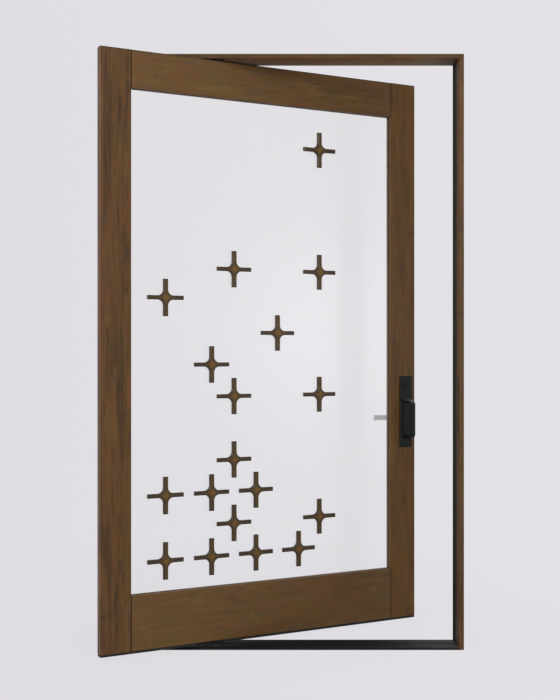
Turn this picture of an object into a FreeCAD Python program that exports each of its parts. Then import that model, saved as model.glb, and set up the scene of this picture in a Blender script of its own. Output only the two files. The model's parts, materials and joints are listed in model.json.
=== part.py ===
import FreeCAD, Part
import os
import re
import Sketcher

# Pivot entry door: a glazed leaf in a timber frame, standing open on its pivots.
# Millimetres. X runs along the frame, +Y into the house, +Z up.
# The origin is the middle of the sill's underside.

# Driving sizes, one cell each
sizes = {
    "frame_height": 2460, "frame_depth": 116, "edge_ease": 1.5,
    "jamb_thickness": 19, "head_thickness": 18.5, "pivot_jamb_thickness": 38,
    "sill_height": 11.5, "sill_nose": 8.5, "sill_step": 24, "sill_fall": 1.5,
    "groove_place": 60, "groove_width": 6, "groove_depth": 5,
    "leaf_width": 1511, "leaf_thickness": 35, "leaf_lap": 24, "pivot_setback": 482, "open_angle": 25.26,
    "latch_gap": 5, "top_gap": 5, "bottom_gap": 24, "stop_gap": 10,
    "frame_seal_width": 50, "frame_seal_depth": 6, "stop_seal_width": 12, "stop_seal_depth": 5,
    "stile_width": 131, "top_rail_width": 152.5, "bottom_rail_width": 221.5,
    "glass_thickness": 10, "glass_bite": 12, "glass_edge_gap": 2, "bead_chamfer": 1.5,
    "cross_width": 159, "cross_height": 151.5, "cross_upright": 20, "cross_level": 17,
    "cross_depth": 12.5, "cross_fillet": 24, "cross_bevel": 4,
    "column_first": 283, "column_pitch": 104, "row_first": 347.5, "row_pitch": 132.5,
    "pin_radius": 8, "pin_clearance": 0.1, "pin_reach": 30, "pin_chamfer": 1.5, "plate_screw_land": 55,
    "pivot_plate_width": 24, "pivot_plate_thickness": 4, "socket_depth": 40, "shoe_depth": 60,
    "thrust_radius": 12, "thrust_clearance": 0.5,
    "sweep_width": 8, "sweep_depth": 8, "sweep_drop": 10, "sweep_inset": 1.5, "sweep_margin": 60,
    "handle_backset": 51, "handle_plate_width": 65, "handle_plate_thickness": 9,
    "plate_above_lock": 40, "plate_below_lever": 129, "plate_corner": 4, "plate_bevel": 5,
    "pull_drop": 66, "pull_length": 173, "pull_reach": 53, "pull_width": 22,
    "pull_thickness": 12, "pull_bend": 22, "pull_edge": 2.5,
    "lock_spacing": 151, "cylinder_radius": 17, "cylinder_reach": 5, "cylinder_chamfer": 1.5,
    "plug_radius": 7, "plug_reach": 1.5, "keyway_height": 9, "keyway_width": 2,
    "lever_height": 929, "lever_length": 109.5, "lever_reach": 55, "lever_root": 20, "lever_end": 25,
    "lever_bar_thickness": 11, "lever_hub_radius": 12, "lever_neck_radius": 8, "lever_clearance": 0.5,
    "lever_corner": 2.5, "lever_edge": 1.5,
    "knob_stem_radius": 7, "knob_reach": 24, "knob_width": 36, "knob_thickness": 9, "knob_round": 3,
    "face_width": 25, "face_margin": 45, "face_thickness": 3, "bolt_depth": 40,
    "latch_height": 20, "latch_width": 14, "bolt_height": 32, "bolt_width": 14, "bolt_fit": 0.3,
    "strike_pocket": 12, "strike_margin": 4,
}

# Crosses on the glass: column from the pivot side, row from below; one stands a little above its row
crossPlaces = [
    (7, 13), (3, 9), (7, 9), (0, 8.06), (5, 7), (2, 6), (3, 5), (7, 5), (3, 3),
    (0, 2), (2, 2), (4, 2), (7, 1), (3, 1), (0, 0), (2, 0), (4, 0), (6, 0),
]

# Latch and deadbolt: height above the floor, and the bolt's own height and width
lockHeight = "(lever_height + lock_spacing)"
boltList = [
    ("lever_height", "latch_height", "latch_width"),
    (lockHeight, "bolt_height", "bolt_width"),
]

doc = FreeCAD.newDocument("PivotDoor")
sheet = doc.addObject("Spreadsheet::Sheet", "Sizes")
for row, (alias, number) in enumerate(sizes.items(), start=1):
    sheet.set(f"A{row}", alias)
    sheet.set(f"B{row}", str(number))
    sheet.setAlias(f"B{row}", alias)
doc.recompute()

pieces = {}


def bound(text):
    """Writes each size in an expression as the sheet's cell."""
    return re.sub(r"\b([a-z]+(?:_[a-z]+)+)\b", r"Sizes.\1", text)


# Places worked out from the sizes, in the frame
frameWidth = "(leaf_width - leaf_lap + latch_gap + jamb_thickness)"
frameLeft = f"(-{frameWidth} / 2)"
frameRight = f"({frameWidth} / 2)"
frameFront = "(-frame_depth / 2)"
frameBack = "(frame_depth / 2)"
latchReveal = f"({frameRight} - jamb_thickness)"
headUnderside = "(frame_height - head_thickness)"
plateCeiling = f"({headUnderside} + pivot_plate_thickness)"
sillFloor = "(sill_height - sill_fall - pivot_plate_thickness)"
pivotX = f"({latchReveal} - latch_gap - leaf_width + pivot_setback)"
pivotY = f"({frameFront} + leaf_thickness / 2)"
stopFront = f"({frameFront} + leaf_thickness + stop_gap)"

# Places on the leaf: X from the pivot axis towards the latch, Y from the middle of its thickness,
# Z from the underside of the sill
leafLeft = "(-pivot_setback)"
leafRight = "(leaf_width - pivot_setback)"
leafFront = "(-leaf_thickness / 2)"
leafBack = "(leaf_thickness / 2)"
leafBottom = "(sill_height + bottom_gap)"
leafTop = f"({headUnderside} - top_gap)"
leafFoot = f"({leafBottom} - sweep_drop)"
glassFront = "(-glass_thickness / 2)"
glassBack = "(glass_thickness / 2)"
openLeft = f"({leafLeft} + stile_width)"
openRight = f"({leafRight} - stile_width)"
openBottom = f"({leafBottom} + bottom_rail_width)"
openTop = f"({leafTop} - top_rail_width)"
handleX = f"({leafRight} - handle_backset)"
plateTop = f"({lockHeight} + plate_above_lock)"
plateBottom = "(lever_height - plate_below_lever)"
faceTop = f"({lockHeight} + face_margin)"
faceBottom = "(lever_height - face_margin)"
pullTop = f"({lockHeight} - pull_drop)"
halfFitting = "(pin_radius + plate_screw_land)"
halfFittingWidth = "(pivot_plate_width / 2)"
sweepRuns = [
    (openLeft, f"(-({halfFitting} + sweep_margin))"),
    (f"({halfFitting} + sweep_margin)", openRight),
]
bootRuns = [
    (f"({leafLeft} + sweep_inset)", f"(-{halfFitting})"),
    (halfFitting, f"({leafRight} - sweep_inset)"),
]


def newBody(node, onLeaf=False):
    body = doc.addObject("PartDesign::Body", node)
    body.Label = node
    pieces[node] = body
    if onLeaf:
        hang(body)
    return body


def hang(piece):
    """Puts a piece drawn in the leaf's own axes on the open leaf."""
    piece.setExpression("Placement.Base.x", bound(pivotX))
    piece.setExpression("Placement.Base.y", bound(pivotY))
    piece.setExpression("Placement.Rotation.Angle", bound("open_angle"))
    piece.Placement.Rotation = FreeCAD.Rotation(FreeCAD.Vector(0, 0, 1), sizes["open_angle"])


def newSketch(body, plane, offset):
    """A sketch on one of the body's origin planes, moved along X, +Y or Z by the offset."""
    name = f"{body.Name}_sketch{len(body.Group)}"
    sketch = body.newObject("Sketcher::SketchObject", name)
    origin = [feature for feature in body.Origin.OriginFeatures if feature.Role == plane][0]
    sketch.AttachmentSupport = (origin, [""])
    sketch.MapMode = "FlatFace"
    sign = "-" if plane == "XZ_Plane" else ""
    sketch.setExpression("AttachmentOffset.Base.z", bound(f"{sign}({offset})"))
    return sketch


def place(sketch, line, end, x, y):
    """Ties one point of a sketch to two expressions."""
    for kind, text in (("DistanceX", x), ("DistanceY", y)):
        index = sketch.addConstraint(Sketcher.Constraint(kind, -1, 1, line, end, 1))
        sketch.setExpression(f"Constraints[{index}]", bound(str(text)))


def outline(sketch, points):
    """A closed outline of straight lines through points given as expressions."""
    first = sketch.GeometryCount
    count = len(points)
    rough = [FreeCAD.Vector(k, k * k, 0) for k in range(1, count + 1)]
    for k in range(count):
        sketch.addGeometry(Part.LineSegment(rough[k], rough[(k + 1) % count]), False)
    for k in range(count):
        after = first + (k + 1) % count
        sketch.addConstraint(Sketcher.Constraint("Coincident", first + k, 2, after, 1))
    for k, (x, y) in enumerate(points):
        place(sketch, first + k, 1, x, y)


def ring(sketch, x, y, radius):
    """A circle whose centre and radius are expressions."""
    index = sketch.addGeometry(Part.Circle(FreeCAD.Vector(0, 0, 0), FreeCAD.Vector(0, 0, 1), 1), False)
    place(sketch, index, 3, x, y)
    radial = sketch.addConstraint(Sketcher.Constraint("Radius", index, 1))
    sketch.setExpression(f"Constraints[{radial}]", bound(str(radius)))


def corners(x0, y0, x1, y1):
    return [(x0, y0), (x1, y0), (x1, y1), (x0, y1)]


def add(body, sketch, length, cut=False):
    """Pads or pockets a sketch towards +X, +Y or +Z."""
    kind = "Pocket" if cut else "Pad"
    feature = body.newObject(f"PartDesign::{kind}", f"{body.Name}_{kind.lower()}{len(body.Group)}")
    feature.Profile = sketch
    backwards = "XZ_Plane" in sketch.AttachmentSupport[0][0].Role
    feature.Reversed = backwards != cut
    feature.setExpression("Length", bound(str(length)))
    body.Tip = feature
    return feature


def block(body, low, high, cut=False):
    """A rectangular pad or pocket between two corners."""
    sketch = newSketch(body, "XY_Plane", low[2])
    outline(sketch, corners(low[0], low[1], high[0], high[1]))
    return add(body, sketch, f"({high[2]}) - ({low[2]})", cut)


def disc(body, plane, centre, radius, start, length, cut=False):
    sketch = newSketch(body, plane, start)
    ring(sketch, centre[0], centre[1], radius)
    return add(body, sketch, length, cut)


def edgesAlong(shape, direction, test=None):
    """Names of a shape's straight edges that run along a direction."""
    names = []
    for number, edge in enumerate(shape.Edges, start=1):
        if edge.Curve.TypeId != "Part::GeomLine":
            continue
        run = edge.Vertexes[-1].Point - edge.Vertexes[0].Point
        if run.Length > 0 and abs(run.normalize().dot(direction)) > 0.999:
            if test is None or test(edge.CenterOfMass):
                names.append(f"Edge{number}")
    return names


def edgesOfFace(shape, test):
    """Names of the edges of every face whose centre passes the test."""
    names = set()
    for face in shape.Faces:
        if test(face):
            for edge in face.Edges:
                for number, other in enumerate(shape.Edges, start=1):
                    if edge.isSame(other):
                        names.add(f"Edge{number}")
    return sorted(names)


def dress(body, kind, names, size):
    """Fillets or chamfers the named edges of the body's tip."""
    base = body.Tip
    feature = body.newObject(f"PartDesign::{kind}", f"{body.Name}_{kind.lower()}{len(body.Group)}")
    feature.Base = (base, names)
    feature.setExpression("Radius" if kind == "Fillet" else "Size", bound(str(size)))
    body.Tip = feature
    doc.recompute()
    return feature


alongX = FreeCAD.Vector(1, 0, 0)
alongY = FreeCAD.Vector(0, 1, 0)
near = 0.01


def boltHoles(body, middle, x0, x1, above="0", beside="0"):
    """Cuts a hole for each bolt, with a margin above and below it and one at its sides."""
    for height, tall, wide in boltList:
        half = f"({tall} / 2 + {above})"
        across = f"({wide} / 2 + {beside})"
        block(
            body,
            (x0, f"{middle} - {across}", f"{height} - {half}"),
            (x1, f"{middle} + {across}", f"{height} + {half}"),
            cut=True,
        )


def pointPin(body, lowest):
    """Chamfers the end of a pin that enters the leaf."""
    doc.recompute()
    shape = body.Tip.Shape
    ends = [face.CenterOfMass.z for face in shape.Faces]
    end = min(ends) if lowest else max(ends)
    names = edgesOfFace(shape, lambda face: abs(face.CenterOfMass.z - end) < near)
    dress(body, "Chamfer", names, "pin_chamfer")


# Frame: head over the jambs, sill between them

def makeHead():
    body = newBody("head_jamb")
    sketch = newSketch(body, "YZ_Plane", frameLeft)
    outline(sketch, [
        (frameFront, "frame_height"), (frameFront, f"{headUnderside} + edge_ease"),
        (f"{frameFront} + edge_ease", headUnderside), (f"{frameBack} - edge_ease", headUnderside),
        (frameBack, f"{headUnderside} + edge_ease"), (frameBack, "frame_height"),
    ])
    add(body, sketch, frameWidth)
    block(
        body,
        (f"{pivotX} - {halfFitting}", f"{pivotY} - {halfFittingWidth}", headUnderside),
        (f"{pivotX} + {halfFitting}", f"{pivotY} + {halfFittingWidth}", plateCeiling),
        cut=True,
    )


def makeLatchJamb():
    body = newBody("latch_jamb")
    sketch = newSketch(body, "XY_Plane", "0")
    outline(sketch, [
        (frameRight, frameFront), (frameRight, frameBack), (f"{latchReveal} + edge_ease", frameBack),
        (latchReveal, f"{frameBack} - edge_ease"), (latchReveal, f"{frameFront} + edge_ease"),
        (f"{latchReveal} + edge_ease", frameFront),
    ])
    add(body, sketch, headUnderside)
    # rebate for the seal at the back of the reveal
    block(
        body,
        (latchReveal, f"{frameBack} - frame_seal_width", "sill_height"),
        (f"{latchReveal} + frame_seal_depth", frameBack, headUnderside),
        cut=True,
    )
    # housing for the strike plate, and the two bolt pockets behind it
    block(
        body,
        (latchReveal, f"{pivotY} - face_width / 2", faceBottom),
        (f"{latchReveal} + face_thickness", f"{pivotY} + face_width / 2", faceTop),
        cut=True,
    )
    pocketFloor = f"{latchReveal} + strike_pocket"
    boltHoles(body, pivotY, f"{latchReveal} + face_thickness", pocketFloor, "strike_margin", "bolt_fit")


def makePivotJamb():
    body = newBody("pivot_jamb")
    right = f"({frameLeft} + pivot_jamb_thickness)"
    sketch = newSketch(body, "XY_Plane", "0")
    outline(sketch, [
        (frameLeft, stopFront), (f"{right} - edge_ease", stopFront), (right, f"{stopFront} + edge_ease"),
        (right, f"{frameBack} - edge_ease"), (f"{right} - edge_ease", frameBack), (frameLeft, frameBack),
    ])
    add(body, sketch, headUnderside)


def makeSill():
    """Low sill with a sloped nose, a step and a drain groove."""
    body = newBody("sill")
    sketch = newSketch(body, "YZ_Plane", frameLeft)
    low = "(sill_height - sill_fall)"
    grooveFloor = f"({low} - groove_depth)"
    step = f"({frameFront} + sill_step)"
    groove = f"({frameFront} + groove_place)"
    outline(sketch, [
        (frameFront, "0"), (frameBack, "0"), (frameBack, low), (f"{frameBack} - sill_fall", "sill_height"),
        (f"{groove} + groove_width + sill_fall", "sill_height"), (f"{groove} + groove_width", low),
        (f"{groove} + groove_width", grooveFloor), (groove, grooveFloor), (groove, low),
        (f"{step} + sill_fall", low), (step, "sill_height"),
        (f"{frameFront} + sill_nose", "sill_height"), (frameFront, "sill_nose"),
    ])
    add(body, sketch, f"{latchReveal} - {frameLeft}")
    # notch round the foot of the pivot-side jamb
    block(
        body,
        (frameLeft, stopFront, "0"),
        (f"{frameLeft} + pivot_jamb_thickness", frameBack, "sill_height * 2"),
        cut=True,
    )
    # recess for the floor pivot
    block(
        body,
        (f"{pivotX} - {halfFitting}", f"{pivotY} - {halfFittingWidth}", sillFloor),
        (f"{pivotX} + {halfFitting}", f"{pivotY} + {halfFittingWidth}", "sill_height * 2"),
        cut=True,
    )


def makeFrameSeals():
    body = newBody("latch_seal")
    block(
        body,
        (latchReveal, f"{frameBack} - frame_seal_width", "sill_height"),
        (f"{latchReveal} + frame_seal_depth", frameBack, headUnderside),
    )
    body = newBody("pivot_seal")
    middle = f"({frameLeft} + pivot_jamb_thickness / 2)"
    block(
        body,
        (f"{middle} - stop_seal_width / 2", f"{stopFront} - stop_seal_depth", leafBottom),
        (f"{middle} + stop_seal_width / 2", stopFront, leafTop),
    )


def makeStrike():
    body = newBody("strike_plate")
    block(
        body,
        (latchReveal, f"{pivotY} - face_width / 2", faceBottom),
        (f"{latchReveal} + face_thickness", f"{pivotY} + face_width / 2", faceTop),
    )
    boltHoles(body, pivotY, latchReveal, f"{latchReveal} + face_thickness", "strike_margin", "bolt_fit")


def makeFramePivots():
    front, back = f"{pivotY} - {halfFittingWidth}", f"{pivotY} + {halfFittingWidth}"
    left, right = f"{pivotX} - {halfFitting}", f"{pivotX} + {halfFitting}"
    axis = (pivotX, pivotY)
    # top: plate in the head, with the pin held in its bore
    body = newBody("top_pivot_plate")
    block(body, (left, front, headUnderside), (right, back, plateCeiling))
    disc(body, "XY_Plane", axis, "pin_radius", headUnderside, "pivot_plate_thickness", cut=True)
    body = newBody("top_pivot_pin")
    foot = f"({leafTop} - pin_reach)"
    disc(body, "XY_Plane", axis, "pin_radius", foot, f"{plateCeiling} - {foot}")
    pointPin(body, lowest=True)
    # bottom: plate let into the sill, with the spindle and its thrust collar
    body = newBody("floor_pivot_plate")
    block(body, (left, front, sillFloor), (right, back, f"{sillFloor} + pivot_plate_thickness"))
    disc(body, "XY_Plane", axis, "pin_radius", sillFloor, "pivot_plate_thickness", cut=True)
    body = newBody("floor_pivot_spindle")
    disc(body, "XY_Plane", axis, "pin_radius", sillFloor, f"{leafFoot} + pin_reach - {sillFloor}")
    pointPin(body, lowest=False)
    collarFoot = f"({sillFloor} + pivot_plate_thickness)"
    collarHeight = f"{leafFoot} - thrust_clearance - {collarFoot}"
    disc(body, "XY_Plane", axis, "thrust_radius", collarFoot, collarHeight)


# Leaf: full-height stiles, rails between them, glass in a rebate closed by beads

def makeStile(node, edge, inner, inwards, outwards):
    """A stile with eased edges, rebated along its inner side from the glass to the back."""
    body = newBody(node, onLeaf=True)
    sketch = newSketch(body, "XY_Plane", leafBottom)
    shoulder = f"({inner} {outwards} glass_bite)"
    outline(sketch, [
        (edge, f"{leafFront} + edge_ease"), (f"{edge} {inwards} edge_ease", leafFront),
        (f"{inner} {outwards} edge_ease", leafFront), (inner, f"{leafFront} + edge_ease"),
        (inner, glassFront), (shoulder, glassFront), (shoulder, leafBack),
        (f"{edge} {inwards} edge_ease", leafBack), (edge, f"{leafBack} - edge_ease"),
    ])
    add(body, sketch, f"{leafTop} - {leafBottom}")
    return body


def makeRail(node, edge, inner, inwards, outwards):
    """A rail with a long back shoulder that fills the stiles' rebates."""
    body = newBody(node, onLeaf=True)
    shoulder = f"({inner} {outwards} glass_bite)"
    front = newSketch(body, "YZ_Plane", openLeft)
    outline(front, [
        (glassFront, edge), (f"{leafFront} + edge_ease", edge), (leafFront, f"{edge} {inwards} edge_ease"),
        (leafFront, f"{inner} {outwards} edge_ease"), (f"{leafFront} + edge_ease", inner),
        (glassFront, inner),
    ])
    add(body, front, f"{openRight} - {openLeft}")
    back = newSketch(body, "YZ_Plane", f"{openLeft} - glass_bite")
    outline(back, [
        (glassFront, edge), (glassFront, shoulder), (leafBack, shoulder),
        (leafBack, f"{edge} {inwards} edge_ease"), (f"{leafBack} - edge_ease", edge),
    ])
    add(body, back, f"{openRight} - {openLeft} + 2 * glass_bite")
    return body


def cutLock(body):
    """Cuts in the lock stile for the faceplate and the two bolts."""
    block(
        body,
        (f"{leafRight} - face_thickness", "-face_width / 2", faceBottom),
        (leafRight, "face_width / 2", faceTop),
        cut=True,
    )
    boltHoles(body, "0", f"{leafRight} - bolt_depth", f"{leafRight} - face_thickness")


def makeLeafTimber():
    makeStile("pivot_stile", leafLeft, openLeft, "+", "-")
    cutLock(makeStile("lock_stile", leafRight, openRight, "-", "+"))
    top = makeRail("top_rail", leafTop, openTop, "-", "+")
    bottom = makeRail("bottom_rail", leafBottom, openBottom, "+", "-")
    low, high = (f"-{halfFitting}", f"-{halfFittingWidth}"), (halfFitting, halfFittingWidth)
    block(top, (*low, f"{leafTop} - socket_depth"), (*high, leafTop), cut=True)
    block(bottom, (*low, leafBottom), (*high, f"{leafFoot} + shoe_depth"), cut=True)
    for x0, x1 in sweepRuns:
        sweepStrip(top, x0, x1, f"{leafTop} - sweep_depth", leafTop, cut=True)
        sweepStrip(bottom, x0, x1, leafBottom, f"{leafBottom} + sweep_depth", cut=True)


def sweepStrip(body, x0, x1, z0, z1, cut=False):
    """A strip in the middle of the leaf's thickness: a seal, or the groove that holds it."""
    block(body, (x0, "-sweep_width / 2", z0), (x1, "sweep_width / 2", z1), cut)


def makeSweeps():
    """A strip let into the top rail, and a boot under the whole bottom edge."""
    top = newBody("top_sweep", onLeaf=True)
    for x0, x1 in sweepRuns:
        sweepStrip(top, x0, x1, f"{leafTop} - sweep_depth", leafTop)
    bottom = newBody("bottom_sweep", onLeaf=True)
    for x0, x1 in bootRuns:
        low = (x0, f"{leafFront} + sweep_inset", leafFoot)
        high = (x1, f"{leafBack} - sweep_inset", leafBottom)
        block(bottom, low, high)
    for x0, x1 in sweepRuns:
        sweepStrip(bottom, x0, x1, leafBottom, f"{leafBottom} + sweep_depth")


def makeGlass():
    body = newBody("glass_pane", onLeaf=True)
    edge = "(glass_bite - glass_edge_gap)"
    block(
        body,
        (f"{openLeft} - {edge}", glassFront, f"{openBottom} - {edge}"),
        (f"{openRight} + {edge}", glassBack, f"{openTop} + {edge}"),
    )


def beadProfile(outer, inner, outwards):
    """Section of a bead: flat on the glass, its free back corner chamfered."""
    return [
        (outer, glassBack), (inner, glassBack), (inner, f"{leafBack} - bead_chamfer"),
        (f"{inner} {outwards} bead_chamfer", leafBack), (outer, leafBack),
    ]


def makeBeads():
    """Four beads behind the glass; the side beads run between the other two."""
    for node, inner, outwards in (("bead_pivot_side", openLeft, "-"), ("bead_lock_side", openRight, "+")):
        body = newBody(node, onLeaf=True)
        sketch = newSketch(body, "XY_Plane", openBottom)
        outline(sketch, beadProfile(f"({inner} {outwards} glass_bite)", inner, outwards))
        add(body, sketch, f"{openTop} - {openBottom}")
    for node, inner, outwards in (("bead_bottom", openBottom, "-"), ("bead_top", openTop, "+")):
        body = newBody(node, onLeaf=True)
        sketch = newSketch(body, "YZ_Plane", f"{openLeft} - glass_bite")
        section = beadProfile(f"({inner} {outwards} glass_bite)", inner, outwards)
        outline(sketch, [(y, z) for z, y in section])
        add(body, sketch, f"{openRight} - {openLeft} + 2 * glass_bite")


# Crosses: one bevelled cross, repeated over the front of the glass

def makeCross():
    """One cross, its back on the XZ plane and its bevelled face towards -Y."""
    body = doc.addObject("PartDesign::Body", "cross_pattern")
    sketch = newSketch(body, "XZ_Plane", "0")
    x0, x1 = "cross_upright / 2", "cross_width / 2"
    z0, z1 = "cross_level / 2", "cross_height / 2"
    outline(sketch, [
        (x0, z1), (x0, z0), (x1, z0), (x1, f"-{z0}"), (x0, f"-{z0}"), (x0, f"-{z1}"),
        (f"-{x0}", f"-{z1}"), (f"-{x0}", f"-{z0}"), (f"-{x1}", f"-{z0}"),
        (f"-{x1}", z0), (f"-{x0}", z0), (f"-{x0}", z1),
    ])
    pad = add(body, sketch, "cross_depth")
    pad.Reversed = False
    doc.recompute()
    upright, level, depth = sizes["cross_upright"], sizes["cross_level"], sizes["cross_depth"]
    inner = edgesAlong(pad.Shape, alongY, lambda c: abs(c.x) < upright and abs(c.z) < level)
    dress(body, "Fillet", inner, "cross_fillet")
    rim = edgesOfFace(body.Tip.Shape, lambda face: abs(face.CenterOfMass.y + depth) < near)
    dress(body, "Chamfer", rim, "cross_bevel")
    return body


def makeCrosses():
    pattern = makeCross()
    left = sizes["column_first"] - sizes["pivot_setback"]
    low = sizes["sill_height"] + sizes["bottom_gap"] + sizes["row_first"]
    copies = []
    for column, row in crossPlaces:
        x = left + column * sizes["column_pitch"]
        z = low + row * sizes["row_pitch"]
        copy = pattern.Shape.copy()
        spot = FreeCAD.Vector(x, -sizes["glass_thickness"] / 2, z)
        copy.Placement = FreeCAD.Placement(spot, FreeCAD.Rotation())
        copies.append(copy)
    piece = doc.addObject("Part::Feature", "front_crosses")
    piece.Label = "front_crosses"
    piece.Shape = Part.makeCompound(copies)
    piece.Placement = pieces["glass_pane"].Placement
    pieces["front_crosses"] = piece


# Pivot fittings in the leaf

def makeLeafPivots():
    socketBore = f"({leafTop} - pin_reach - pin_clearance)"
    for node, z0, z1, bore in (
        ("top_pivot_socket", f"({leafTop} - socket_depth)", leafTop, socketBore),
        ("bottom_pivot_shoe", leafFoot, f"({leafFoot} + shoe_depth)", leafFoot),
    ):
        body = newBody(node, onLeaf=True)
        block(body, (f"-{halfFitting}", f"-{halfFittingWidth}", z0), (halfFitting, halfFittingWidth, z1))
        boreRadius, boreDepth = "pin_radius + pin_clearance", "pin_reach + pin_clearance"
        disc(body, "XY_Plane", ("0", "0"), boreRadius, bore, boreDepth, cut=True)


# Lock and handles

def makePlate(node, outside):
    """A tall plate on one face of the lock stile, with a wide bevel round its outer face."""
    body = newBody(node, onLeaf=True)
    sketch = newSketch(body, "XZ_Plane", f"{leafFront} - handle_plate_thickness" if outside else leafBack)
    outline(sketch, corners(
        f"{handleX} - handle_plate_width / 2", plateBottom, f"{handleX} + handle_plate_width / 2", plateTop,
    ))
    add(body, sketch, "handle_plate_thickness")
    doc.recompute()
    face = (sizes["leaf_thickness"] / 2 + sizes["handle_plate_thickness"]) * (-1 if outside else 1)
    rim = edgesOfFace(body.Tip.Shape, lambda side: abs(side.CenterOfMass.y - face) < near)
    dress(body, "Chamfer", rim, "plate_bevel")
    dress(body, "Fillet", edgesAlong(body.Tip.Shape, alongY), "plate_corner")
    return body


def makePull():
    """C-shaped pull: one bar bent out of the plate, down and back into it."""
    body = newBody("pull_handle", onLeaf=True)
    face = f"({leafFront} - handle_plate_thickness)"
    front = f"({face} - pull_reach)"
    foot = f"({pullTop} - pull_length)"
    sketch = newSketch(body, "YZ_Plane", f"{handleX} - pull_width / 2")
    outline(sketch, [
        (face, pullTop), (front, pullTop), (front, foot), (face, foot),
        (face, f"{foot} + pull_thickness"), (f"{front} + pull_thickness", f"{foot} + pull_thickness"),
        (f"{front} + pull_thickness", f"{pullTop} - pull_thickness"), (face, f"{pullTop} - pull_thickness"),
    ])
    add(body, sketch, "pull_width")
    doc.recompute()
    plate = -(sizes["leaf_thickness"] / 2 + sizes["handle_plate_thickness"])
    bar = plate - sizes["pull_reach"]
    back = bar + sizes["pull_thickness"]
    dress(body, "Fillet", edgesAlong(body.Tip.Shape, alongX, lambda c: abs(c.y - bar) < near), "pull_bend")
    inner = edgesAlong(body.Tip.Shape, alongX, lambda c: abs(c.y - back) < near)
    dress(body, "Fillet", inner, "pull_bend - pull_thickness")
    # bevel the long edges on both sides, but not the two feet on the plate
    centre = sizes["leaf_width"] - sizes["pivot_setback"] - sizes["handle_backset"]
    half = sizes["pull_width"] / 2
    sides = edgesOfFace(body.Tip.Shape, lambda face: abs(abs(face.CenterOfMass.x - centre) - half) < near)
    feet = edgesOfFace(body.Tip.Shape, lambda face: abs(face.CenterOfMass.y - plate) < near)
    dress(body, "Chamfer", [name for name in sides if name not in feet], "pull_edge")


def makeCylinder():
    """Key cylinder: a collar with a plug in it and a slot for the key."""
    body = newBody("lock_cylinder", onLeaf=True)
    face = f"({leafFront} - handle_plate_thickness)"
    centre = (handleX, lockHeight)
    disc(body, "XZ_Plane", centre, "cylinder_radius", f"{face} - cylinder_reach", "cylinder_reach")
    doc.recompute()
    rim = -(sizes["leaf_thickness"] / 2 + sizes["handle_plate_thickness"] + sizes["cylinder_reach"])
    names = edgesOfFace(body.Tip.Shape, lambda face: abs(face.CenterOfMass.y - rim) < near)
    dress(body, "Chamfer", names, "cylinder_chamfer")
    nose = f"({face} - cylinder_reach - plug_reach)"
    disc(body, "XZ_Plane", centre, "plug_radius", nose, "plug_reach")
    block(
        body,
        (f"{handleX} - keyway_width / 2", nose, f"{lockHeight} - keyway_height / 2"),
        (f"{handleX} + keyway_width / 2", face, f"{lockHeight} + keyway_height / 2"),
        cut=True,
    )


def makeTurnKnob():
    """Thumb turn: a round stem with a flat oval grip."""
    body = newBody("turn_knob", onLeaf=True)
    face = f"({leafBack} + handle_plate_thickness)"
    disc(body, "XZ_Plane", (handleX, lockHeight), "knob_stem_radius", face, "knob_reach")
    sketch = newSketch(body, "XZ_Plane", f"{face} + knob_reach / 2")
    outline(sketch, corners(
        f"{handleX} - knob_width / 2", f"{lockHeight} - knob_thickness / 2",
        f"{handleX} + knob_width / 2", f"{lockHeight} + knob_thickness / 2",
    ))
    add(body, sketch, "knob_reach / 2")
    doc.recompute()
    centre = sizes["leaf_width"] - sizes["pivot_setback"] - sizes["handle_backset"]
    ends = edgesAlong(
        body.Tip.Shape, alongY, lambda c: abs(abs(c.x - centre) - sizes["knob_width"] / 2) < near
    )
    dress(body, "Fillet", ends, "knob_round")


def makeLever():
    """Inside lever: neck through the plate, hub, and a bar that widens towards its end."""
    body = newBody("inside_lever", onLeaf=True)
    plateFace = f"({leafBack} + handle_plate_thickness)"
    centre = (handleX, "lever_height")
    leverTip = f"{handleX} - lever_length"
    sketch = newSketch(body, "XZ_Plane", f"{plateFace} + lever_reach - lever_bar_thickness")
    outline(sketch, [
        (leverTip, "lever_height - lever_end / 2"), (handleX, "lever_height - lever_root / 2"),
        (handleX, "lever_height + lever_root / 2"), (leverTip, "lever_height + lever_end / 2"),
    ])
    add(body, sketch, "lever_bar_thickness")
    doc.recompute()
    tip = sizes["leaf_width"] - sizes["pivot_setback"] - sizes["handle_backset"] - sizes["lever_length"]
    dress(body, "Fillet", edgesAlong(body.Tip.Shape, alongY, lambda c: abs(c.x - tip) < near), "lever_corner")
    reach = sizes["leaf_thickness"] / 2 + sizes["handle_plate_thickness"] + sizes["lever_reach"]
    bar = edgesOfFace(body.Tip.Shape, lambda face: abs(face.CenterOfMass.y - reach) < near)
    dress(body, "Chamfer", bar, "lever_edge")
    disc(
        body, "XZ_Plane", centre, "lever_neck_radius", f"{leafBack} + lever_clearance",
        "handle_plate_thickness + lever_reach - lever_bar_thickness",
    )
    disc(
        body, "XZ_Plane", centre, "lever_hub_radius", f"{plateFace} + lever_clearance",
        "lever_reach - lever_clearance",
    )


def makeEdgeLock():
    body = newBody("edge_faceplate", onLeaf=True)
    block(
        body,
        (f"{leafRight} - face_thickness", "-face_width / 2", faceBottom),
        (leafRight, "face_width / 2", faceTop),
    )
    boltHoles(body, "0", f"{leafRight} - face_thickness", leafRight)
    for node, (height, tall, wide) in zip(("latch_bolt", "deadbolt"), boltList):
        bolt = newBody(node, onLeaf=True)
        block(
            bolt,
            (f"{leafRight} - bolt_depth", f"-{wide} / 2", f"{height} - {tall} / 2"),
            (leafRight, f"{wide} / 2", f"{height} + {tall} / 2"),
        )


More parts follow.
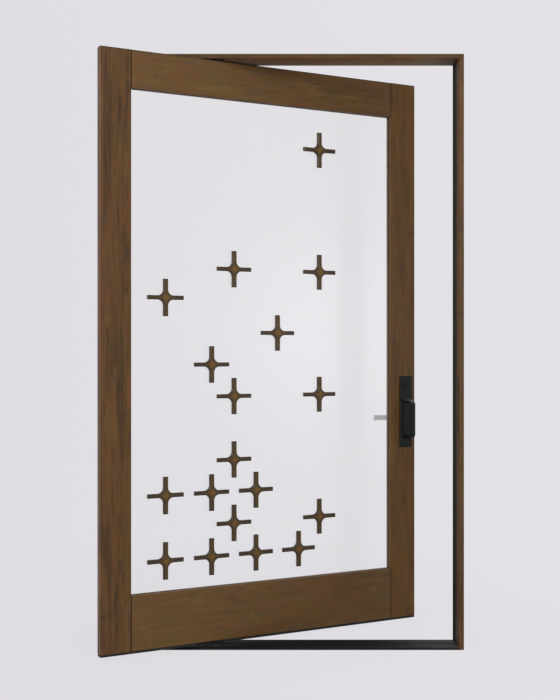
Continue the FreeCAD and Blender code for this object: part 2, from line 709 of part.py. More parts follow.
makeHead()
makeLatchJamb()
makePivotJamb()
makeSill()
makeFrameSeals()
makeStrike()
makeFramePivots()
makeLeafTimber()
makeSweeps()
makeGlass()
makeBeads()
doc.recompute()
makeCrosses()
makeLeafPivots()
makePlate("outside_plate", outside=True)
inside = makePlate("inside_plate", outside=False)
disc(
    inside, "XZ_Plane", (handleX, "lever_height"), "lever_neck_radius + lever_clearance",
    leafBack, "handle_plate_thickness", cut=True,
)
makePull()
makeCylinder()
makeTurnKnob()
makeLever()
makeEdgeLock()
doc.recompute()

faults = [f"{obj.Name}: {obj.State}" for obj in doc.Objects if {"Invalid", "Error"} & set(obj.State)]
for node, piece in pieces.items():
    if piece.Shape.isNull() or not piece.Shape.isValid():
        faults.append(f"{node}: the shape is empty or not valid")
if faults:
    raise RuntimeError("\n".join(faults))

os.makedirs("parts", exist_ok=True)
for node, piece in pieces.items():
    piece.Shape.exportStep(f"parts/{node}.step")
    box = piece.Shape.BoundBox
    spans = [(box.XMin, box.XMax), (box.YMin, box.YMax), (box.ZMin, box.ZMax)]
    reach = ", ".join(f"{name} {low:.1f} to {high:.1f}" for name, (low, high) in zip("xyz", spans))
    print(f"{node}: {len(piece.Shape.Solids)} solids, {piece.Shape.Volume / 1000:.1f} cm3, {reach}")
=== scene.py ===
import json
import math

import bpy
from mathutils import Matrix, Vector


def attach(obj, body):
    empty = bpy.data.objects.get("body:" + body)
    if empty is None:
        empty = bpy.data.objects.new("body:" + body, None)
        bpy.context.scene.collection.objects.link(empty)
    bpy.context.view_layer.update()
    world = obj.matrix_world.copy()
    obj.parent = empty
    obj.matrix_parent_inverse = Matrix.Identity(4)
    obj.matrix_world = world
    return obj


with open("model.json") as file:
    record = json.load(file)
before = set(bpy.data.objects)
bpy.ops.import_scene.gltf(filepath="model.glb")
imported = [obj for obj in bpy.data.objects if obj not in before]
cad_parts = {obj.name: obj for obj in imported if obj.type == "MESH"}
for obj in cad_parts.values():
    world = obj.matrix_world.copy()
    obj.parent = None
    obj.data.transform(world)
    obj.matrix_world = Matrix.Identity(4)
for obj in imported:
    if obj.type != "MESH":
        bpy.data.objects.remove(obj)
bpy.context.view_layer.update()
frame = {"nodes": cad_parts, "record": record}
nodes = frame["nodes"]
joints = {joint["name"]: joint for joint in frame["record"]["behaviour"]["joints"]}
print("frame loaded:", len(nodes), "nodes")


# Places

# The leaf's own axes: x along it from the pivot to the latch, y through it to the inside, z up
openAngle = math.radians(-joints["leaf_swing"]["range_deg"][0])
pivot = Vector(joints["leaf_swing"]["pos_m"])
leafPlace = Matrix.Translation(pivot) @ Matrix.Rotation(openAngle, 4, "Z")
upright = Matrix()


def cornersOf(name, place=upright):
    # lowest and highest corner of a node, in the frame or in the axes of a place
    inverse = place.inverted()
    points = [inverse @ vertex.co for vertex in nodes[name].data.vertices]
    low = Vector(min(point[k] for point in points) for k in range(3))
    high = Vector(max(point[k] for point in points) for k in range(3))
    return low, high


opening = {
    "left": cornersOf("bead_pivot_side", leafPlace)[1].x,
    "right": cornersOf("bead_lock_side", leafPlace)[0].x,
    "bottom": cornersOf("bead_bottom", leafPlace)[1].z,
    "top": cornersOf("bead_top", leafPlace)[0].z,
    "front": cornersOf("glass_pane", leafPlace)[0].y,
    "back": cornersOf("glass_pane", leafPlace)[1].y,
}
leafLow, leafHigh = cornersOf("pivot_stile", leafPlace)[0], cornersOf("lock_stile", leafPlace)[1]
frameLow, frameHigh = cornersOf("head_jamb")
white = (1.0, 1.0, 1.0, 1.0)


def linear(red, green, blue):
    # a screen colour from 0 to 255 as the linear colour that materials take
    parts = [c / 255 for c in (red, green, blue)]
    return tuple(c / 12.92 if c <= 0.04045 else ((c + 0.055) / 1.055) ** 2.4 for c in parts) + (1.0,)


# Camera

longSide, sensorSide = 700, 36  # the picture's long side in pixels, and the sensor's in millimetres

cameraLook = {
    "lens": 1063.9 * sensorSide / longSide,
    "place": (-0.3346, -0.058 - 4.3898, 1.240),  # 4.3898 m before the frame's outside face
    "shiftX": (280 - 199.8) / longSide,  # the door stands right of the lens axis
    "shiftY": (349.51 - 350) / longSide,
}


def makeCamera(look):
    data = bpy.data.cameras.new("camera")
    data.lens = look["lens"]
    data.sensor_width = sensorSide
    data.shift_x = look["shiftX"]
    data.shift_y = look["shiftY"]
    camera = bpy.data.objects.new("camera", data)
    bpy.context.collection.objects.link(camera)
    camera.location = look["place"]
    camera.rotation_euler = (math.radians(90), 0, 0)
    bpy.context.scene.camera = camera


makeCamera(cameraLook)
print("camera placed")


# Node trees

class NodeTree:
    # puts nodes in a tree, where a named value is a number, a colour or another node's socket
    def __init__(self, tree, prefix):
        self.tree = tree
        self.prefix = prefix

    def add(self, kind, settings=None, **values):
        fullName = kind.startswith(("Geometry", "Function", "Shader", "NodeGroup"))
        node = self.tree.nodes.new(kind if fullName else self.prefix + kind)
        for key, value in (settings or {}).items():
            setattr(node, key, value)
        for key, value in values.items():
            self.put(node.inputs[key.replace("_", " ")], value)
        return node

    def put(self, socket, value):
        if isinstance(value, bpy.types.NodeSocket):
            self.tree.links.new(value, socket)
        else:
            socket.default_value = value

    def math(self, operation, first, second=0.0):
        # one step of arithmetic on numbers
        node = self.tree.nodes.new("ShaderNodeMath")
        node.operation = operation
        self.put(node.inputs[0], first)
        self.put(node.inputs[1], second)
        return node.outputs[0]

    def fit(self, value, low, high, toLow=0.0, toHigh=1.0, smooth=False):
        # stretches low to high over toLow to toHigh, and stops at both ends
        node = self.tree.nodes.new("ShaderNodeMapRange")
        node.interpolation_type = "SMOOTHSTEP" if smooth else "LINEAR"
        for key, number in (("Value", value), ("From Min", low), ("From Max", high)):
            self.put(node.inputs[key], number)
        node.inputs["To Min"].default_value = toLow
        node.inputs["To Max"].default_value = toHigh
        return node.outputs["Result"]

    def blend(self, amount, first, second, kind="MIX"):
        node = self.tree.nodes.new("ShaderNodeMix")
        node.data_type = "RGBA"
        node.blend_type = kind
        # the sockets of the colour kind: the amount and the two colours
        for socket, value in zip((node.inputs[0], node.inputs[6], node.inputs[7]), (amount, first, second)):
            self.put(socket, value)
        return node.outputs[2]

    def ramp(self, value, stops):
        node = self.tree.nodes.new("ShaderNodeValToRGB")
        self.put(node.inputs["Fac"], value)
        marks = node.color_ramp.elements
        while len(marks) < len(stops):
            marks.new(0.5)
        for mark, (place, colour) in zip(marks, stops):
            mark.position = place
            mark.color = colour
        return node.outputs["Color"]

    def split(self, vector):
        return self.add("SeparateXYZ", Vector=vector).outputs

    def length(self, vector):
        node = self.add("VectorMath", {"operation": "LENGTH"})
        self.put(node.inputs[0], vector)
        return node.outputs["Value"]

    def placed(self, where, place):
        # coordinates in the axes of a place
        turn = (0, 0, place.to_euler().z)
        node = self.add(
            "Mapping", {"vector_type": "TEXTURE"}, Vector=where, Location=place.translation, Rotation=turn
        )
        return node.outputs["Vector"]

    def tone(self, value, low, high, first, last):
        # a grey that turns from one level to another along a value
        level = self.fit(value, low, high, first, last)
        return self.add("CombineColor", Red=level, Green=level, Blue=level).outputs["Color"]

    def mixShaders(self, amount, first, second):
        node = self.add("MixShader")
        for socket, value in zip(node.inputs, (amount, first, second)):
            self.put(socket, value)
        return node.outputs["Shader"]


def newMaterial(name):
    material = bpy.data.materials.new(name)
    material.use_nodes = True
    material.node_tree.nodes.clear()
    tree = NodeTree(material.node_tree, "ShaderNode")
    output = tree.add("OutputMaterial")
    return material, tree, output


bumpStrength = 0.3


# Wood

stileLook = {
    "main": linear(98, 67, 36), "light": linear(109, 78, 44), "dark": linear(52, 38, 25),
    "red": linear(99, 63, 38), "olive": linear(86, 66, 32), "grey": linear(82, 64, 48),
    "pore": linear(46, 31, 19), "seam": linear(44, 27, 13),
    "streak": 0.75, "mottle": 0.62, "line": 0.3, "figure": 0.5, "pores": 0.45,  # how strongly each shows
    "seamWidth": 0.0036, "seamCore": 0.0014, "seamFade": 0.002, "seamShade": 0.9,
    "roughness": 0.4, "glossRange": (0.3, 0.7), "glossSwing": (0.08, -0.04), "specular": 0.17,
    "poreHeight": -0.6, "lineHeight": -0.5, "depth": 0.0005,
}
lockStileLook = dict(
    stileLook, main=linear(96, 66, 31), light=linear(106, 77, 38), red=linear(97, 63, 32),
    olive=linear(84, 65, 27), grey=linear(80, 62, 41), streak=0.45, line=0.18, figure=0.34,
)
railLook = dict(
    stileLook, main=linear(100, 72, 39), light=linear(112, 84, 48), dark=linear(76, 57, 38),
    red=linear(106, 69, 43), olive=linear(90, 73, 37), grey=linear(88, 70, 54),
    streak=0.35, mottle=0.7, line=0.16, figure=0.25,
)
frameLook = dict(
    stileLook, main=linear(100, 76, 53), light=linear(109, 85, 61), dark=linear(68, 52, 40),
    red=linear(102, 72, 54), specular=0.03, roughness=0.5, streak=0.6, mottle=0.5, line=0.25, figure=0.2,
)

# Each pattern's repeats for each metre across and along the grain, then its detail, distortion and shift
woodPatterns = {
    "streak": (78, 3.6, 5.0, 0.4, 0.0),
    "patch": (18, 6.0, 3.0, 0.8, 3.7),
    "tint": (24, 8.0, 3.0, 0.7, 8.3),
    "haze": (42, 13, 3.0, 0.8, 12.6),
    "smudge": (40, 11, 4.0, 0.6, 15.1),
    "figure": (27, 2.1, 4.0, 1.3, 44.2),
    "line": (210, 5, 3.0, 0.2, 31.0),
    "pore": (900, 26, 2.0, 0.0, 21.9),
}
patternRoughness = 0.55
streakStops = ((0.34, "dark"), (0.47, "main"), (0.58, "main"), (0.72, "light"))

# A pattern, the levels where its stain starts and is full, the stain, its setting and its share of that
woodStains = (
    ("patch", 0.52, 0.66, "red", "mottle", 1.0),
    ("tint", 0.5, 0.64, "olive", "mottle", 1.0),
    ("haze", 0.53, 0.68, "grey", "mottle", 1.0),
    ("patch", 0.45, 0.32, "light", "mottle", 1.0),
    ("smudge", 0.57, 0.72, "dark", "mottle", 0.8),
    ("figure", 0.48, 0.64, "dark", "figure", 1.0),
    ("line", 0.5, 0.72, "dark", "line", 1.0),
    ("pore", 0.56, 0.7, "pore", "pores", 1.0),
)
revealLean = (-0.1, -0.3)  # how far a face looks into the opening, from not yet to fully


def woodMaterial(
    name, look, grain, place=upright, seed=0.0, seams=(), tones=(), shades=(), veils=(), reveal=""
):
    # stained wood with its grain along x or z of a place, and the tones, painted shade and painted light that
    # the woods below give it
    material, tree, output = newMaterial(name)
    coordinates = tree.add("TexCoord").outputs
    where = tree.placed(coordinates["Object"], place)
    patterns = {}
    for pattern, (across, along, detail, distortion, shift) in woodPatterns.items():
        scale = (along, across, across) if grain == "x" else (across, across, along)
        start = (seed + shift, shift - seed, seed * 2)
        stretched = tree.add("Mapping", Vector=where, Scale=scale, Location=start).outputs["Vector"]
        patterns[pattern] = tree.add(
            "TexNoise", Vector=stretched, Scale=1.0, Detail=detail, Roughness=patternRoughness,
            Distortion=distortion,
        ).outputs["Fac"]

    grained = tree.ramp(patterns["streak"], [(mark, look[stain]) for mark, stain in streakStops])
    colour = tree.blend(look["streak"], look["main"], grained)
    for pattern, low, high, stain, setting, share in woodStains:
        amount = tree.fit(patterns[pattern], low, high, 0.0, look[setting] * share)
        colour = tree.blend(amount, colour, look[stain])
    spot = tree.split(where)
    for axis, start, end, first, last in tones:
        # the colour gets darker or paler from one place to another; on the rails this is painted shade
        colour = tree.blend(1.0, colour, tree.tone(spot[axis], start, end, first, last), "MULTIPLY")
    within = 1.0
    if reveal:
        # the shades and veils, painted shade and painted light, fall only on the faces that look into the
        # opening
        normal = tree.split(coordinates["Normal"])
        inward = tree.math("MULTIPLY", normal["X"], spot["X"]) if reveal == "sides" else normal["Z"]
        within = tree.fit(inward, *revealLean)
    # painted shade and painted light: darker or paler along an axis
    for axis, start, end, first, last in shades:
        colour = tree.blend(within, colour, tree.tone(spot[axis], start, end, first, last), "MULTIPLY")
    for axis, start, end, amount, veil in veils:
        # the colour turns to another towards one side: painted shade at the leaf's top end, in the reveals
        # and in the head's corner, and a greyer tone towards the back of the head's underside
        overlayAmount = tree.fit(spot[axis], start, end, 0.0, amount, smooth=True)
        colour = tree.blend(tree.math("MULTIPLY", overlayAmount, within), colour, veil)
    for seam in seams:
        # the joint line runs on only beside the rails
        middle, half = (opening["top"] + opening["bottom"]) / 2, (opening["top"] - opening["bottom"]) / 2
        off = tree.math("ABSOLUTE", tree.math("SUBTRACT", spot["Z"], middle))
        beside = tree.fit(off, half, half + look["seamFade"])
        away = tree.math("ABSOLUTE", tree.math("SUBTRACT", spot["X"], seam))
        drawn = tree.fit(away, look["seamWidth"], look["seamCore"], 0.0, look["seamShade"])
        colour = tree.blend(tree.math("MULTIPLY", drawn, beside), colour, look["seam"])

    rough, smooth = (look["roughness"] + swing for swing in look["glossSwing"])
    roughness = tree.fit(patterns["streak"], *look["glossRange"], rough, smooth)
    poreHeight = tree.math("MULTIPLY", patterns["pore"], look["poreHeight"])
    lineHeight = tree.math("MULTIPLY", patterns["line"], look["lineHeight"])
    height = tree.math("ADD", poreHeight, lineHeight)
    bump = tree.add("Bump", Strength=bumpStrength, Distance=look["depth"], Height=height)
    shader = tree.add(
        "BsdfPrincipled", Base_Color=colour, Roughness=roughness, Specular_IOR_Level=look["specular"],
        Normal=bump.outputs["Normal"],
    )
    tree.put(output.inputs["Surface"], shader.outputs["BSDF"])
    return material


# Metal, rubber and glass

cloudLook = {
    "detail": 5.0, "roughness": 0.6,
    "colourRange": (0.3, 0.7), "glossRange": (0.2, 0.8), "glossSwing": (-0.06, 0.08),
    "fineShare": 20, "fineDetail": 2.0,  # the fine grain in the bump
    "upward": (0.4, 0.65), "highlightLevel": 0.9,
}


def cloudOf(tree, where, scale):
    return tree.add(
        "TexNoise", Vector=where, Scale=scale, Detail=cloudLook["detail"], Roughness=cloudLook["roughness"]
    ).outputs["Fac"]


def closeFinish(tree, output, look, colour, cloud, height):
    # the shader that metal, rubber and bronze share
    rough, smooth = (look["roughness"] + swing for swing in cloudLook["glossSwing"])
    bump = tree.add("Bump", Strength=bumpStrength, Distance=look["depth"], Height=height)
    shader = tree.add(
        "BsdfPrincipled", Base_Color=colour, Metallic=look["metallic"], Specular_IOR_Level=look["specular"],
        Roughness=tree.fit(cloud, *cloudLook["glossRange"], rough, smooth), Normal=bump.outputs["Normal"],
    )
    tree.put(output.inputs["Surface"], shader.outputs["BSDF"])


finishLook = {
    "black": {
        "colours": (linear(13, 15, 14), linear(21, 24, 22)), "roughness": 0.42, "specular": 0.14,
        "metallic": 0.0, "grain": 45, "depth": 0.00008,
    },
    "pull": {
        "colours": (linear(15, 17, 17), linear(24, 27, 25)), "roughness": 0.42, "specular": 0.12,
        # a painted highlight on what looks up at the pull's upper end
        "metallic": 0.0, "grain": 45, "depth": 0.00008, "paintedHighlight": (linear(92, 92, 89), 0.9, 0.98),
    },
    "sill": {
        "colours": (linear(26, 27, 27), linear(36, 37, 37)), "roughness": 0.58, "specular": 0.04,
        "metallic": 0.0, "grain": 30, "depth": 0.0001,
        # painted shadow of the leaf on the left of the top, and a painted reflection of the backdrop at its
        # right end
        "tones": ((-0.45, 0.4, 0.55, 1.1), (0.4, 0.69, 1.0, 3.4)),
    },
    "rubber": {
        "colours": (linear(38, 39, 37), linear(51, 52, 49)), "roughness": 0.75, "specular": 0.04,
        "metallic": 0.0, "grain": 70, "depth": 0.0002,
    },
    "steel": {
        "colours": (linear(208, 206, 210), linear(232, 230, 234)), "roughness": 0.36, "specular": 0.5,
        "metallic": 0.45, "grain": 120, "depth": 0.00006,
    },
    "darkSteel": {
        "colours": (linear(28, 28, 29), linear(42, 42, 42)), "roughness": 0.68, "specular": 0.04,
        "metallic": 0.0, "grain": 90, "depth": 0.00008,
    },
    "sealant": {
        "colours": (linear(96, 84, 68), linear(112, 99, 82)), "roughness": 0.7, "specular": 0.05,
        "metallic": 0.0, "grain": 70, "depth": 0.0002,
    },
    "strike": {
        "colours": (linear(60, 46, 31), linear(72, 56, 38)), "roughness": 0.55, "specular": 0.03,
        "metallic": 0.0, "grain": 60, "depth": 0.0001,
    },
}


def finishMaterial(name, look):
    material, tree, output = newMaterial(name)
    coordinates = tree.add("TexCoord").outputs
    where = coordinates["Object"]
    cloud = cloudOf(tree, where, look["grain"])
    fineScale = look["grain"] * cloudLook["fineShare"]
    fine = tree.add("TexNoise", Vector=where, Scale=fineScale, Detail=cloudLook["fineDetail"]).outputs["Fac"]
    colour = tree.blend(tree.fit(cloud, *cloudLook["colourRange"]), *look["colours"])
    spot = tree.split(where)
    upward = tree.fit(tree.split(coordinates["Normal"])["Z"], *cloudLook["upward"])
    for tone in look.get("tones", ()):
        # painted shade and painted reflection on top: darker at one end and paler at the other
        colour = tree.blend(upward, colour, tree.tone(spot["X"], *tone), "MULTIPLY")
    if "paintedHighlight" in look:
        # painted highlight: paler on what looks up, near the top only
        paintedHighlight, low, high = look["paintedHighlight"]
        overlayAmount = tree.fit(spot["Z"], low, high, 0.0, cloudLook["highlightLevel"])
        colour = tree.blend(tree.math("MULTIPLY", upward, overlayAmount), colour, paintedHighlight)
    closeFinish(tree, output, look, colour, cloud, fine)
    return material


glassLook = {
    "tint": (0.985, 0.995, 0.988, 1.0), "roughness": 0.02, "ior": 1.15,
    "film": 0.85, "haze": 0.3,  # the thin coat that mirrors: its weight and its roughness
    "waveScale": 3.0, "waveDetail": 1.0, "waveStrength": 0.1, "waveDepth": 0.00004,
}


def glassMaterial(name, look):
    # clear glass that lets lamplight through to what stands behind it
    material, tree, output = newMaterial(name)
    where = tree.add("TexCoord").outputs["Object"]
    wave = tree.add(
        "TexNoise", Vector=where, Scale=look["waveScale"], Detail=look["waveDetail"]
    ).outputs["Fac"]
    bump = tree.add("Bump", Strength=look["waveStrength"], Distance=look["waveDepth"], Height=wave)
    colour = tree.blend(wave, look["tint"], white)
    glass = tree.add(
        "BsdfPrincipled", Base_Color=colour, Roughness=look["roughness"], IOR=look["ior"],
        Transmission_Weight=1.0, Specular_IOR_Level=0.0, Coat_Weight=look["film"],
        Coat_Roughness=look["haze"], Normal=bump.outputs["Normal"],
    )
    clear = tree.add("BsdfTransparent", Color=colour)
    shadow = tree.add("LightPath").outputs["Is Shadow Ray"]
    both = tree.mixShaders(shadow, glass.outputs["BSDF"], clear.outputs["BSDF"])
    tree.put(output.inputs["Surface"], both)
    return material


# Crosses

def crossCentres():
    # middle of each cross in the leaf's axes, from the edges that join a cross's corners
    mesh = nodes["front_crosses"].data
    inverse = leafPlace.inverted()
    points = [inverse @ vertex.co for vertex in mesh.vertices]
    placed = {}
    for k, point in enumerate(points):
        # corners less than a hundredth of a millimetre apart are one
        placed.setdefault(tuple(round(value, 5) for value in point), []).append(k)
    leader = list(range(len(points)))

    def first(k):
        while leader[k] != k:
            leader[k] = leader[leader[k]]
            k = leader[k]
        return k

    joined = [edge.vertices for edge in mesh.edges]
    joined += [(same[0], other) for same in placed.values() for other in same[1:]]
    for one, two in joined:
        leader[first(one)] = first(two)
    groups = {}
    for k, point in enumerate(points):
        groups.setdefault(first(k), []).append(point)
    centres = []
    for group in groups.values():
        xs, zs = [point.x for point in group], [point.z for point in group]
        centres.append(((min(xs) + max(xs)) / 2, (min(zs) + max(zs)) / 2))
    return sorted(centres)


crossLook = {
    "flat": (linear(68, 53, 33), linear(86, 67, 38)), "edge": linear(60, 49, 36),
    "middle": linear(112, 80, 36), "level": linear(60, 49, 37),
    "roughness": 0.42, "specular": 0.25, "metallic": 0.25, "grain": 70.0, "depth": 0.0001,
    "frontLean": (0.95, 0.8),  # from a face that looks forwards to one that counts as a side
    "middleReach": (0.022, 0.006), "middleShade": 0.85,  # from the rim of the painted highlight to its full level
    "armReach": (0.08, 0.082), "armWidth": (0.02, 0.012), "armStart": (0.022, 0.05), "armShade": 0.75,
}


def crossMaterial(name, look):
    # bronze, paler on the flat front with painted shade on the faces that look aside, darker on the level
    # arms, and a painted highlight in the middle of each cross
    material, tree, output = newMaterial(name)
    coordinates = tree.add("TexCoord").outputs
    where = tree.placed(coordinates["Object"], leafPlace)
    spot = tree.split(where)
    cloud = cloudOf(tree, where, look["grain"])
    colour = tree.blend(tree.fit(cloud, *cloudLook["colourRange"]), *look["flat"])
    away = across = None
    for middleX, middleZ in crossCentres():
        # away is the distance along both arms from the nearest cross, and across is that from its level arm
        beside = tree.math("ABSOLUTE", tree.math("SUBTRACT", spot["X"], middleX))
        above = tree.math("ABSOLUTE", tree.math("SUBTRACT", spot["Z"], middleZ))
        reach = tree.math("ADD", beside, above)
        level = tree.math("ADD", above, tree.fit(beside, *look["armReach"]))
        away = reach if away is None else tree.math("MINIMUM", away, reach)
        across = level if across is None else tree.math("MINIMUM", across, level)
    drawn = tree.fit(across, *look["armWidth"], 0.0, look["armShade"])
    arm = tree.math("MULTIPLY", drawn, tree.fit(away, *look["armStart"]))
    colour = tree.blend(arm, colour, look["level"])
    # painted highlight: palest in the middle of each cross, as a raised middle catching the light
    middle = tree.fit(away, *look["middleReach"], 0.0, look["middleShade"], smooth=True)
    colour = tree.blend(middle, colour, look["middle"])
    # painted shade: faces that do not look forwards take the darker edge colour
    front = tree.add("VectorMath", {"operation": "DOT_PRODUCT"})
    tree.put(front.inputs[0], coordinates["Normal"])
    tree.put(front.inputs[1], tuple(leafPlace.to_3x3() @ Vector((0, -1, 0))))
    colour = tree.blend(tree.fit(front.outputs["Value"], *look["frontLean"]), colour, look["edge"])
    closeFinish(tree, output, look, colour, cloud, cloud)
    return material


# Which piece has which finish

seamPlaces = (opening["left"], opening["right"])
topPaintedShade = ("Z", leafHigh.z - 0.0055, leafHigh.z - 0.0025, 0.8, linear(50, 41, 34))  # painted shade along the leaf's top end, under the head

# Tones and shades give an axis, where they start and end, and the levels there.
# Veils give an axis, where they start and are full, their amount and their colour.
woods = {
    "pivotSide": dict(
        name="stile_wood_pivotSide", look=stileLook, grain="z", place=leafPlace, seed=1.3,
        seams=seamPlaces, veils=[topPaintedShade],
        tones=[("Z", 0.1, 2.3, 1.0, 0.98)],
    ),
    "lockSide": dict(
        name="stile_wood_lockSide", look=lockStileLook, grain="z", place=leafPlace, seed=1.3,
        seams=seamPlaces, veils=[topPaintedShade],
        tones=[("Z", 0.3, 1.1, 1.04, 0.94), ("Z", 1.3, 2.2, 1.0, 1.09)],
    ),
    "rails": dict(
        name="rail_wood", look=railLook, grain="x", place=leafPlace, seed=4.1,
        seams=seamPlaces, veils=[topPaintedShade],
        # painted shade: the rails are paler at the pivot side and darker towards the lock side, as the lamp's
        # light falls off
        tones=[("X", leafLow.x, leafHigh.x, 1.14, 0.92), ("Z", 0.2, 2.2, 1.0, 0.95)],
    ),
    "jambs": dict(
        name="jamb_wood", look=frameLook, grain="z", seed=7.7, reveal="sides",
        tones=[("Z", 0.1, 2.3, 0.88, 1.08)],
        # painted shade: the reveals are darker towards the back, by the seal
        shades=[("Y", 0.012, frameLow.y + 0.004, 0.5, 1.0)],
        veils=[("Y", frameLow.y + 0.03, 0.004, 0.7, linear(46, 38, 28))],
    ),
    "head": dict(
        name="head_wood", look=frameLook, grain="x", seed=9.2, reveal="head",
        tones=[("X", frameLow.x, frameHigh.x, 0.74, 0.91)],
        # painted light: the underside is twice as pale as the front, as if lit from below
        shades=[("Y", frameLow.y + 0.002, frameLow.y + 0.006, 1.0, 2.0)],
        # a greyer tone towards the back of the underside, and painted shadow in the corner over the latch
        # jamb
        veils=[
            ("Y", frameLow.y + 0.02, frameHigh.y, 0.6, linear(128, 118, 105)),
            ("X", frameHigh.x - 0.16, frameHigh.x - 0.04, 0.65, linear(72, 58, 44)),
        ],
    ),
}
materials = {finish: finishMaterial("finish_" + finish, look) for finish, look in finishLook.items()}
for wood, settings in woods.items():
    materials[wood] = woodMaterial(**settings)
materials["crosses"] = crossMaterial("cross_bronze", crossLook)
materials["glass"] = glassMaterial("clear_pane", glassLook)

finishes = {
    "pivotSide": ["pivot_stile", "bead_pivot_side"],
    "lockSide": ["lock_stile", "bead_lock_side"],
    "rails": ["top_rail", "bottom_rail", "bead_top", "bead_bottom"],
    "jambs": ["latch_jamb", "pivot_jamb"],
    "head": ["head_jamb"],
    "sill": ["sill"],
    "rubber": ["latch_seal", "pivot_seal", "top_sweep", "bottom_sweep"],
    "black": ["outside_plate", "lock_cylinder"],
    "pull": ["pull_handle"],
    "steel": ["inside_plate", "turn_knob", "inside_lever", "edge_faceplate", "latch_bolt", "deadbolt"],
    "darkSteel": [
        "top_pivot_plate", "top_pivot_pin", "floor_pivot_plate", "floor_pivot_spindle", "top_pivot_socket",
        "bottom_pivot_shoe",
    ],
    "crosses": ["front_crosses"],
    "strike": ["strike_plate"],
    "glass": ["glass_pane"],
}

for finish, names in finishes.items():
    for name in names:
        for slot in nodes[name].material_slots:
            slot.material = materials[finish]
print("materials set")


# Small pieces that repeat or follow a path

def newGroup(name, numbers):
    # a geometry tree with a named number input for each size
    group = bpy.data.node_groups.new(name, "GeometryNodeTree")
    group.interface.new_socket("Geometry", in_out="INPUT", socket_type="NodeSocketGeometry")
    for label, number in numbers.items():
        kind = "NodeSocketInt" if isinstance(number, int) else "NodeSocketFloat"
        group.interface.new_socket(label, in_out="INPUT", socket_type=kind).default_value = number
    group.interface.new_socket("Geometry", in_out="OUTPUT", socket_type="NodeSocketGeometry")
    tree = NodeTree(group, "GeometryNode")
    given = tree.add("NodeGroupInput").outputs
    return group, tree, given


def closeGroup(tree, geometry, material):
    real = tree.add("RealizeInstances", Geometry=geometry)
    painted = tree.add("SetMaterial", Geometry=real.outputs["Geometry"], Material=material)
    output = tree.add("NodeGroupOutput")
    tree.put(output.inputs["Geometry"], painted.outputs["Geometry"])


def finishPiece(name, mesh, group, numbers, body):
    # runs the tree on a mesh, keeps the result as a plain mesh and lets it ride
    piece = bpy.data.objects.new(name, mesh)
    bpy.context.collection.objects.link(piece)
    modifier = piece.modifiers.new("shape", "NODES")
    modifier.node_group = group
    for item in group.interface.items_tree:
        if item.in_out == "INPUT" and item.name in numbers:
            modifier[item.identifier] = numbers[item.name]
    shaped = piece.evaluated_get(bpy.context.evaluated_depsgraph_get())
    plain = bpy.data.meshes.new_from_object(shaped)
    piece.modifiers.clear()
    piece.data = plain
    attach(piece, body)


# Screws

screwLook = {
    "Head Radius": 0.0042, "Rim Height": 0.0004, "Dome": 0.0004, "Dome Share": 0.75,
    "Slot Length": 0.0046, "Slot Width": 0.0009, "Slot Block": 0.0009, "Sides": 24,
}
screwSeed = 11  # for the way that each cross recess is turned


def screwGroup(material):
    # a flat screw head with a cross recess on each point, facing along the point's own direction
    group, tree, sizes = newGroup("screw_heads", screwLook)
    rim = tree.add(
        "MeshCylinder", Vertices=sizes["Sides"], Radius=sizes["Head Radius"],
        Depth=tree.math("MULTIPLY", sizes["Rim Height"], 2),
    )
    dome = tree.add(
        "MeshCone", Vertices=sizes["Sides"], Radius_Bottom=sizes["Head Radius"], Depth=sizes["Dome"],
        Radius_Top=tree.math("MULTIPLY", sizes["Head Radius"], sizes["Dome Share"]),
    )
    lift = tree.add("ShaderNodeCombineXYZ", Z=sizes["Rim Height"])
    raised = tree.add("Transform", Geometry=dome.outputs["Mesh"], Translation=lift.outputs["Vector"])
    top = tree.add("ShaderNodeCombineXYZ", Z=tree.math("ADD", sizes["Rim Height"], sizes["Dome"]))
    cuts = []
    for long, wide in (("Slot Length", "Slot Width"), ("Slot Width", "Slot Length")):
        size = tree.add("ShaderNodeCombineXYZ", X=sizes[long], Y=sizes[wide], Z=sizes["Slot Block"])
        cube = tree.add("MeshCube", Size=size.outputs["Vector"])
        cut = tree.add("Transform", Geometry=cube.outputs["Mesh"], Translation=top.outputs["Vector"])
        cuts.append(cut.outputs["Geometry"])
    whole = tree.add("MeshBoolean", {"operation": "UNION"})
    for part in (rim.outputs["Mesh"], raised.outputs["Geometry"]):
        tree.tree.links.new(part, whole.inputs["Mesh 2"])
    head = tree.add("MeshBoolean", {"operation": "DIFFERENCE"}, Mesh_1=whole.outputs["Mesh"])
    for part in cuts:
        tree.tree.links.new(part, head.inputs["Mesh 2"])
    facing = tree.add("InputNamedAttribute", {"data_type": "FLOAT_VECTOR"}, Name="facing")
    aim = tree.add("FunctionNodeAlignRotationToVector", {"axis": "Z"}, Vector=facing.outputs["Attribute"])
    turn = tree.add("FunctionNodeRandomValue", {"data_type": "FLOAT"}, Seed=screwSeed)
    turn.inputs[3].default_value = math.pi  # the most that a head is turned
    spin = tree.add("FunctionNodeAxisAngleToRotation", Axis=(0, 0, 1), Angle=turn.outputs[1])
    both = tree.add(
        "FunctionNodeRotateRotation", {"rotation_space": "LOCAL"}, Rotation=aim.outputs["Rotation"],
        Rotate_By=spin.outputs["Rotation"],
    )
    spread = tree.add(
        "InstanceOnPoints", Points=sizes["Geometry"], Instance=head.outputs["Mesh"],
        Rotation=both.outputs["Rotation"],
    )
    closeGroup(tree, spread.outputs["Instances"], material)
    return group


def screwPoints(name, places):
    # a mesh of loose points, each with the direction that its screw faces
    mesh = bpy.data.meshes.new(name)
    mesh.from_pydata([place for place, facing in places], [], [])
    marks = mesh.attributes.new("facing", "FLOAT_VECTOR", "POINT")
    for mark, (place, facing) in zip(marks.data, places):
        mark.vector = facing
    return mesh


